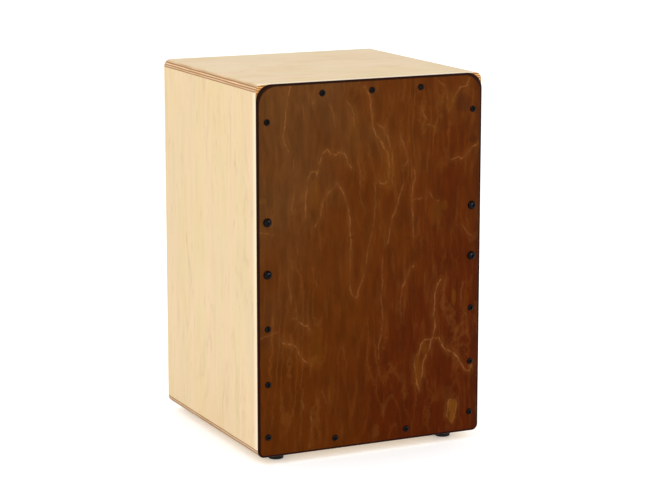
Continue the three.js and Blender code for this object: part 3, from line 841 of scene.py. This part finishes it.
def bolt_mesh(name, size, material):
    """A button-head bolt with a six-sided socket."""
    head, height, shank, length, pitch, socket = (value * MM for value in size)
    # A shallow dome, then a tighter curve down to the rim.
    profile = [(head * share, height - head * share ** 2 / 5.2) for share in BOLT_DOME]
    profile += [(head * across, height * up) for across, up in BOLT_RIM]
    profile.append((shank, 0))
    profile += threaded(shank, -length / 2, -length + 0.5 * MM, pitch, 0.35 * MM)
    profile += [(shank * 0.8, -length), (0, -length)]
    cutter = turned([(socket * across, height * up) for across, up in BOLT_SOCKET], 6)
    return finished_mesh(name, carve(turned(profile, 40), cutter), material)


def facing_front(x, y, z, spin):
    """A place on the plate for a fastener drawn along Z, with its head towards -Y."""
    upright = Matrix.Rotation(math.radians(90), 4, "X")
    return Matrix.Translation((x, y, z)) @ upright @ Matrix.Rotation(spin, 4, "Z")


def make_front_fasteners(black):
    spins = np.random.default_rng(7)
    seat = low_plate[1] - 0.05 * MM  # just clear of the plate
    small = screw_mesh("plate_screw_mesh", PLATE_SCREW, black)
    large = bolt_mesh("clamp_bolt_mesh", CLAMP_BOLT, black)
    for node in sorted(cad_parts):
        if not node.startswith(("plate_screw", "clamp_bolt")):
            continue
        centre = node_centre(node)
        mesh = large if node.startswith("clamp_bolt") else small
        name = node.replace("plate_screw", "black_screw").replace("clamp_bolt", "domed_bolt")
        spin = spins.uniform(0, math.pi / 2)
        place(name, mesh, "black_steel", node, facing_front(centre[0], seat, centre[2], spin))


make_plate()
black_steel = metal("black_oxide", rgb(15, 14, 14), rgb(32, 30, 30), 0.14)
zinc_steel = metal("zinc_plate", rgb(150, 152, 154), rgb(190, 192, 190), 0.34)
make_front_fasteners(black_steel)


# ---------------------------------------------------------------- battens and snare

PINE_PALE, PINE_DARK = rgb(226, 196, 146), rgb(196, 148, 92)
BEECH_PALE, BEECH_DARK = rgb(206, 160, 112), rgb(180, 130, 86)
BATTEN_EASE = 0.8 * MM
RAIL_EASE = 1.2 * MM
COIL_COUNT = 10
COIL_SPACING = 7.4 * MM
COIL_RADIUS = 1.3 * MM
COIL_PITCH = 1.5 * MM
WIRE_RADIUS = 0.27 * MM
FLANGE_THICKNESS = 1 * MM
HEM_RISE = 21 * MM  # from the flange's lower edge
HEM_HEIGHT = 9 * MM
HEM_THICKNESS = 4 * MM
TIP_HEIGHT = 4 * MM
TIP_THICKNESS = 2 * MM
SNARE_SCREW = Screw(head=3.0, height=1.8, shank=1.5, length=10, pitch=1.1, cone=3)
BAR_SCREW = Screw(head=3.6, height=2.0, shank=1.75, length=24, pitch=1.4, cone=4)
NUT_FLATS = 3.5 * MM  # from the middle to a flat
NUT_THICKNESS = 3.2 * MM
NUT_BORE = 2.05 * MM  # radius


def make_timber():
    for number, node in enumerate(sorted(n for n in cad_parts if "batten" in n or "cleat" in n)):
        low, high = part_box(node)
        grain = "X" if high[0] - low[0] > high[2] - low[2] else "Z"
        material = softwood(node + "_pine", grain, number + 1, PINE_PALE, PINE_DARK, 2.6)
        name = node.replace("batten", "strip").replace("cleat", "block")
        weight_normals(solid(name, eased_block(low, high, BATTEN_EASE), material, "pine", node))
    low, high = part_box("snare_bar")
    material = softwood("bar_beech", "X", 21, BEECH_PALE, BEECH_DARK, 4.5)
    rail = eased_block(low, high, RAIL_EASE, 3)
    weight_normals(solid("snare_rail", rail, material, "beech", "snare_bar"))


def coil(bm, x, y, low, high):
    """One coiled wire along Z, as a tube of four sides that follows a helix."""
    steps = 8
    count = int((high - low) / COIL_PITCH * steps)
    loops = []
    for i in range(count + 1):
        angle = 2 * math.pi * i / steps
        along = low + (high - low) * i / count
        outward = Vector((math.cos(angle), math.sin(angle), 0))
        centre = Vector((x, y, along)) + outward * (COIL_RADIUS - WIRE_RADIUS)
        sides = arc((0, 0), WIRE_RADIUS, 0, 270, 3)
        loops.append([centre + outward * out + Vector((0, 0, up)) for out, up in sides])
    rings = bridge(bm, loops)
    bm.faces.new(rings[0])
    bm.faces.new(rings[-1])


def make_wires(side, material):
    """A flange with a rolled hem that holds ten coiled wires, and the strip at their tips."""
    node = "snare_wires_" + side
    low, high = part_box(node)
    hem_low = low[2] + HEM_RISE
    coil_y = low[1] + COIL_RADIUS
    flange_low = (low[0], high[1] - FLANGE_THICKNESS, low[2])
    bm = eased_block(flange_low, (high[0], high[1], hem_low + MM), 0.3 * MM)
    hem_front = (low[0], high[1] - HEM_THICKNESS, hem_low)
    hem = eased_block(hem_front, (high[0], high[1], hem_low + HEM_HEIGHT), 1.4 * MM, 4)
    tip_low = (low[0] + 2 * MM, coil_y - TIP_THICKNESS / 2, high[2] - TIP_HEIGHT)
    tip_high = (high[0] - 2 * MM, coil_y + TIP_THICKNESS / 2, high[2])
    for part in (hem, eased_block(tip_low, tip_high, 0.7 * MM, 3)):
        mesh = bpy.data.meshes.new("part")
        part.to_mesh(mesh)
        part.free()
        bm.from_mesh(mesh)
        bpy.data.meshes.remove(mesh)
    middle = node_centre(node)[0]
    for i in range(COIL_COUNT):
        x = middle + (i - (COIL_COUNT - 1) / 2) * COIL_SPACING
        coil(bm, x, coil_y, hem_low + 2 * MM, high[2] - 1 * MM)
    solid("coiled_wires_" + side, bm, material, "zinc_steel", node, 50)


def nut_mesh(material):
    """A hexagon nut from z = 0 upwards."""
    corner = NUT_FLATS / math.cos(math.pi / 6)
    prism = turned([(0, 0), (corner, 0), (corner, NUT_THICKNESS), (0, NUT_THICKNESS)], 6)
    bmesh.ops.rotate(prism, verts=prism.verts, matrix=Matrix.Rotation(math.radians(30), 3, "Z"))
    top = NUT_THICKNESS + MM
    drill = turned([(0, -MM), (NUT_BORE, -MM), (NUT_BORE, top), (0, top)], 32)
    return finished_mesh("nut_mesh", carve(prism, drill), material)


def make_inner_fasteners(zinc):
    # Each kind: the start of its nodes' names, its mesh, how far its seat is from its front, and its turn.
    kinds = (
        ("snare_screw", screw_mesh("snare_screw_mesh", SNARE_SCREW, zinc), SNARE_SCREW.height * MM, 0.4),
        ("bar_screw", screw_mesh("bar_screw_mesh", BAR_SCREW, zinc), BAR_SCREW.height * MM, 0.9),
        ("clamp_nut", nut_mesh(zinc), NUT_THICKNESS, 0.0),
    )
    for node in sorted(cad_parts):
        for kind, mesh, rise, spin in kinds:
            if node.startswith(kind):
                centre = node_centre(node)
                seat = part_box(node)[0][1] + rise
                spot = facing_front(centre[0], seat, centre[2], spin)
                place(node + "_zinc", mesh, "zinc_steel", node, spot)


make_timber()
for side in ("left", "right"):
    make_wires(side, zinc_steel)
make_inner_fasteners(zinc_steel)


# ---------------------------------------------------------------- feet


FOOT_SCREW = Screw(head=3.9, height=2.2, shank=1.75, length=12, pitch=1.3, cone=3)
FOOT_BOTTOM = 9.3 * MM  # radius at the floor
FOOT_WELL = 5.2 * MM  # radius
FOOT_WEB = 4 * MM
FOOT_EDGE = 1.2 * MM
FOOT_BORE = 2.1 * MM  # radius


def rubber_foot(top, height):
    """A tapered foot from the floor up, with a well below and a screw hole through its web."""
    web = height - FOOT_WEB
    ease = 0.4 * MM
    profile = [(FOOT_BORE, web), (FOOT_WELL - ease, web), (FOOT_WELL, web - ease)]
    profile += [(FOOT_WELL, 0.5 * MM), (FOOT_WELL + 0.5 * MM, 0)]
    profile += arc((FOOT_BOTTOM - FOOT_EDGE, FOOT_EDGE), FOOT_EDGE, -90, 0, 5)
    profile += [(top - 0.15 * MM, height * 0.72), (top, height * 0.78), (top, height - ease)]
    profile += [(top - ease, height), (FOOT_BORE, height), (FOOT_BORE, web)]
    return turned(profile, 64)


def washer(radius, low, high):
    """A flat washer between two heights, with eased edges."""
    ease = 0.15 * MM
    profile = [(FOOT_BORE, low), (radius - ease, low), (radius, low + ease)]
    profile += [(radius, high - ease), (radius - ease, high), (FOOT_BORE, high), (FOOT_BORE, low)]
    return turned(profile, 48)


def make_feet(zinc):
    """Rubber feet, each held by a washer and a screw in its well."""
    material = rubber("moulded_rubber")
    screw = screw_mesh("foot_screw_mesh", FOOT_SCREW, zinc)
    for node in sorted(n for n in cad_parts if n.startswith("rubber_foot")):
        corner = node.replace("rubber_foot_", "")
        low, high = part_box(node)
        centre = node_centre(node)
        foot = rubber_foot((high[0] - low[0]) / 2, high[2])
        bmesh.ops.translate(foot, verts=foot.verts, vec=(centre[0], centre[1], 0))
        solid("foot_" + corner, foot, material, "rubber", node, 30)
        low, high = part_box("foot_washer_" + corner)
        ring = washer((high[0] - low[0]) / 2, low[2], high[2])
        bmesh.ops.translate(ring, verts=ring.verts, vec=(centre[0], centre[1], 0))
        solid("washer_" + corner, ring, zinc, "zinc_steel", "foot_washer_" + corner)
        under = Matrix.Translation((centre[0], centre[1], low[2])) @ Matrix.Rotation(math.pi, 4, "X")
        place("under_screw_" + corner, screw, "zinc_steel", "foot_screw_" + corner, under)


make_feet(zinc_steel)


# ---------------------------------------------------------------- floor, light and camera


def make_floor():
    bm = bmesh.new()
    bmesh.ops.create_grid(bm, x_segments=1, y_segments=1, size=12)
    g = Graph("pale_floor")
    mottle = g.noise(g.place, 400, 3)
    material = g.finish(
        Base_Color=g.mix(mottle, rgb(244, 244, 244), rgb(248, 248, 248)),
        Roughness=0.6,
        Specular_IOR_Level=0.2,
        Emission_Color=(1.0, 1.0, 1.0, 1.0),
        Emission_Strength=0.27,
    )
    floor = bpy.data.objects.new("floor", finished_mesh("floor", bm, material))
    bpy.context.scene.collection.objects.link(floor)


def area_light(name, place_at, side, power):
    """A square light that faces the middle of the object."""
    data = bpy.data.lights.new(name, "AREA")
    data.shape = "SQUARE"
    data.size = side
    data.energy = power
    light = bpy.data.objects.new(name, data)
    light.location = place_at
    aim = Vector((0, 0, 0.25)) - light.location
    light.rotation_euler = aim.to_track_quat("-Z", "Y").to_euler()
    bpy.context.scene.collection.objects.link(light)


def make_light():
    world = bpy.data.worlds.new("studio")
    bpy.context.scene.world = world
    world.use_nodes = True
    background = world.node_tree.nodes["Background"]
    background.inputs["Color"].default_value = (1.0, 1.0, 1.0, 1.0)
    background.inputs["Strength"].default_value = 1.0
    area_light("key", (-2.3, -1.2, 1.8), 1.6, 2.2)
    area_light("front_soft", (1.2, -2.6, 0.28), 0.45, 15)
    area_light("top_soft", (-1.1, -0.4, 1.6), 1.2, 7)
    # A small light puts a glint on the domed heads.
    area_light("glint", (2.1, -1.95, 0.9), 0.2, 5)
    bpy.context.scene.view_settings.view_transform = "Standard"


CAMERA_AZIMUTH = -25.45  # degrees, negative to the left of the plate
CAMERA_ELEVATION = 11.21
CAMERA_DISTANCE = 2.851  # metres
CAMERA_TARGET = (0.0067, 0.0, 0.2319)
LENS = 125.8  # millimetres
SENSOR = 36


def make_camera():
    azimuth, elevation = math.radians(CAMERA_AZIMUTH), math.radians(CAMERA_ELEVATION)
    flat = math.cos(elevation)
    back = Vector((math.sin(azimuth) * flat, -math.cos(azimuth) * flat, math.sin(elevation)))
    data = bpy.data.cameras.new("camera")
    data.lens = LENS
    data.sensor_width = SENSOR
    camera = bpy.data.objects.new("camera", data)
    camera.location = Vector(CAMERA_TARGET) + back * CAMERA_DISTANCE
    camera.rotation_euler = (-back).to_track_quat("-Z", "Y").to_euler()
    bpy.context.scene.collection.objects.link(camera)
    bpy.context.scene.camera = camera


make_floor()
make_light()
make_camera()
